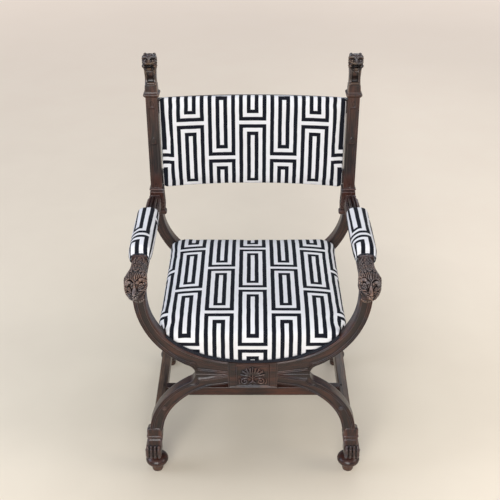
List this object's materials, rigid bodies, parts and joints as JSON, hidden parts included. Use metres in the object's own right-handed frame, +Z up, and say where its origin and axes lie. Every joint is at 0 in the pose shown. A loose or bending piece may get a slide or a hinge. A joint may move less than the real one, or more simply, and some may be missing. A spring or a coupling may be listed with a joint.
{
  "type": "savonarola armchair",
  "caption": "Carved walnut armchair on crossed arches, with lion heads on arms and posts, H stretcher, upholstered seat, arm pads and backrest.",
  "frame": {"origin": "on the floor under the middle of the chair's bounding box", "axes": "+Z up; the chair faces -Y; +X is its right-hand side in a front view"},
  "size_m": [0.646, 0.5898, 1.0597],
  "materials": {
    "walnut": "satin",
    "inner_beech": "matte",
    "patterned_cloth": "matte",
    "dark_braid": "matte",
    "jute": "matte",
    "black_cloth": "matte",
    "screw_steel": "satin"
  },
  "bodies": {
    "root": {"arm_dowels": "inner_beech", "arm_lion_left": "walnut", "arm_lion_right": "walnut", "arm_pad_left": "patterned_cloth", "arm_pad_right": "patterned_cloth", "arm_rail_left": "walnut", "arm_rail_right": "walnut", "back_post_left": "walnut", "back_post_right": "walnut", "backrest_bottom_rail": "inner_beech", "backrest_pad": "patterned_cloth", "backrest_rear_cover": "patterned_cloth", "backrest_top_rail": "inner_beech", "backrest_webbing": "jute", "corner_block_screws": "screw_steel", "cross_stretcher": "walnut", "finial_dowels": "inner_beech", "foot_ball_front_left": "walnut", "foot_ball_front_right": "walnut", "foot_ball_rear_left": "walnut", "foot_ball_rear_right": "walnut", "foot_peg_front_left": "walnut", "foot_peg_front_right": "walnut", "foot_peg_rear_left": "walnut", "foot_peg_rear_right": "walnut", "frame_dowels": "inner_beech", "front_arch_left": "walnut", "front_arch_right": "walnut", "front_carved_panel": "walnut", "front_centre_block": "walnut", "front_leg_left": "walnut", "front_leg_right": "walnut", "leg_bosses": "walnut", "lion_finial_left": "walnut", "lion_finial_right": "walnut", "rear_arch_left": "walnut", "rear_arch_right": "walnut", "rear_centre_block": "walnut", "rear_leg_left": "walnut", "rear_leg_right": "walnut", "seat_board_front": "inner_beech", "seat_board_rear": "inner_beech", "seat_corner_blocks": "inner_beech", "seat_cushion": "patterned_cloth", "seat_dust_cover": "black_cloth", "seat_gimp_front": "dark_braid", "seat_gimp_left": "dark_braid", "seat_gimp_rear": "dark_braid", "seat_gimp_right": "dark_braid", "seat_hessian": "jute", "seat_pad_front": "patterned_cloth", "seat_pad_rear": "patterned_cloth", "seat_rail_left": "inner_beech", "seat_rail_right": "inner_beech", "seat_side_pad_left": "patterned_cloth", "seat_side_pad_right": "patterned_cloth", "seat_webbing": "jute", "side_stretcher_left": "walnut", "side_stretcher_right": "walnut", "stretcher_pegs": "walnut"}
  },
  "joints": []
}
